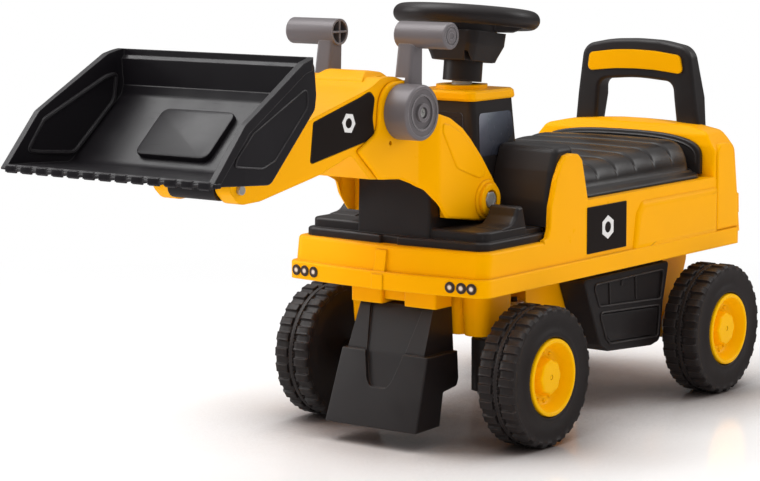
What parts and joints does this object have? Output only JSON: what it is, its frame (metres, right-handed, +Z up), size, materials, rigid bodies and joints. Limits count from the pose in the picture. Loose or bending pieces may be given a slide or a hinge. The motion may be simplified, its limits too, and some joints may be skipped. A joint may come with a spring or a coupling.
{
  "type": "ride-on loader toy",
  "caption": "Child's foot-to-floor ride-on wheel loader with steerable front wheels, a lifting boom, a swinging arm with hand levers, a tilting bucket, a hinged seat lid and a push handle.",
  "frame": {"origin": "on the ground, under the centre of the overall box", "axes": "+Z up, the front of the vehicle faces -Y, +X is the vehicle's left side"},
  "size_m": [0.288, 0.8521, 0.4134],
  "materials": {
    "yellow_body": "satin gloss moulded yellow plastic",
    "yellow_hub": "gloss yellow plastic",
    "black_trim": "fine textured satin black plastic",
    "black_bucket": "satin black plastic",
    "black_seat": "satin black plastic, moulded ribs",
    "tyre_black": "blow moulded charcoal plastic tyre",
    "silver_lever": "silver grey metallic plastic",
    "steel_zinc": "zinc plated steel",
    "window_sticker": "smooth printed sticker",
    "badge_black": "plain printed badge",
    "lamp_ring": "printed ring",
    "lamp_lens": "printed pale lens",
    "bush_white": "natural nylon",
    "cell_wrap": "printed wrap"
  },
  "bodies": {
    "chassis": {"body_shell": "yellow_body", "lower_chassis": "yellow_body", "front_guard": "black_trim", "side_step_left": "black_trim", "side_step_right": "black_trim", "front_deck": "black_trim", "cowl_block": "black_trim", "console_tower": "black_trim", "console_cap": "yellow_body", "console_windows": "window_sticker", "backrest_frame": "black_trim", "backrest_panel": "yellow_body", "storage_tray": "black_trim", "rear_axle": "steel_zinc", "rear_axle_bushes": "bush_white", "rear_push_nuts": "steel_zinc", "lamp_rings": "lamp_ring", "lamp_lenses": "lamp_lens", "side_badges": "badge_black", "chassis_screws": "steel_zinc", "steering_bushes": "bush_white", "kingpins": "steel_zinc", "boom_bolt": "steel_zinc", "boom_nut": "steel_zinc", "seat_hinge_lugs": "black_trim", "seat_hinge_pins": "steel_zinc"},
    "steering": {"steering_shaft": "steel_zinc", "column_sleeve": "black_trim", "steering_hub": "black_trim", "steering_rim": "black_trim", "sound_module": "black_trim", "batteries": "cell_wrap", "horn_spring": "steel_zinc"},
    "horn": {"horn_button": "black_trim"},
    "knuckle_l": {"knuckle_left": "black_trim", "stub_axle_left": "steel_zinc", "front_push_nut_left": "steel_zinc"},
    "knuckle_r": {"knuckle_right": "black_trim", "stub_axle_right": "steel_zinc", "front_push_nut_right": "steel_zinc"},
    "wheel_fl": {"tyre_front_left": "tyre_black", "hub_front_left": "yellow_hub"},
    "wheel_fr": {"tyre_front_right": "tyre_black", "hub_front_right": "yellow_hub"},
    "wheel_rl": {"tyre_rear_left": "tyre_black", "hub_rear_left": "yellow_hub"},
    "wheel_rr": {"tyre_rear_right": "tyre_black", "hub_rear_right": "yellow_hub"},
    "track_rod": {"tie_rod": "steel_zinc"},
    "boom": {"boom_left_shell": "yellow_body", "boom_right_shell": "yellow_body"},
    "arm": {"arm_shell": "yellow_body", "arm_side_panels": "badge_black", "elbow_shaft": "steel_zinc", "hand_lever_left": "silver_lever", "hand_lever_right": "silver_lever", "lever_screws": "steel_zinc", "bucket_pin": "steel_zinc"},
    "bucket": {"bucket": "black_bucket"},
    "seat": {"seat_lid": "black_seat"}
  },
  "joints": [
    {"name": "steering_turn", "type": "hinge", "parent": "chassis", "child": "steering", "pos_m": [0, 0.084, 0.397], "axis": [0, 0.1197, 0.9928], "range_deg": [-40, 40]},
    {"name": "horn_press", "type": "slide", "parent": "steering", "child": "horn", "axis": [0, -0.1197, -0.9928], "range_m": [0, 0.0025], "stiffness_N_per_m": 400},
    {"name": "knuckle_left_turn", "type": "hinge", "parent": "chassis", "child": "knuckle_l", "pos_m": [0.066, 0.024, 0.067], "axis": [0, 0, 1], "range_deg": [-17, 17]},
    {"name": "knuckle_right_turn", "type": "hinge", "parent": "chassis", "child": "knuckle_r", "pos_m": [-0.066, 0.024, 0.067], "axis": [0, 0, 1], "range_deg": [-17, 17]},
    {"name": "track_rod_slide", "type": "slide", "parent": "chassis", "child": "track_rod", "axis": [1, 0, 0], "range_m": [-0.0135, 0.0135]},
    {"name": "wheel_front_left_spin", "type": "hinge", "parent": "knuckle_l", "child": "wheel_fl", "pos_m": [0.121, 0.024, 0.067], "axis": [1, 0, 0], "continuous": true},
    {"name": "wheel_front_right_spin", "type": "hinge", "parent": "knuckle_r", "child": "wheel_fr", "pos_m": [-0.121, 0.024, 0.067], "axis": [1, 0, 0], "continuous": true},
    {"name": "wheel_rear_left_spin", "type": "hinge", "parent": "chassis", "child": "wheel_rl", "pos_m": [0.121, 0.353, 0.067], "axis": [1, 0, 0], "continuous": true},
    {"name": "wheel_rear_right_spin", "type": "hinge", "parent": "chassis", "child": "wheel_rr", "pos_m": [-0.121, 0.353, 0.067], "axis": [1, 0, 0], "continuous": true},
    {"name": "boom_lift", "type": "hinge", "parent": "chassis", "child": "boom", "pos_m": [0, 0.0325, 0.228], "axis": [-1, 0, 0], "range_deg": [-7, 18]},
    {"name": "arm_swing", "type": "hinge", "parent": "boom", "child": "arm", "pos_m": [0, -0.089, 0.3195], "axis": [1, 0, 0], "range_deg": [0, 34]},
    {"name": "bucket_tilt", "type": "hinge", "parent": "arm", "child": "bucket", "pos_m": [0, -0.307, 0.268], "axis": [1, 0, 0], "range_deg": [0, 42]},
    {"name": "seat_open", "type": "hinge", "parent": "chassis", "child": "seat", "pos_m": [0, 0.131, 0.2265], "axis": [1, 0, 0], "range_deg": [0, 55]}
  ],
  "couplings": [
    {"joint": "knuckle_left_turn", "follows": "steering_turn", "ratio": 0.40425},
    {"joint": "knuckle_right_turn", "follows": "steering_turn", "ratio": 0.40425},
    {"joint": "track_rod_slide", "follows": "steering_turn", "m_per_rad": -0.019}
  ]
}
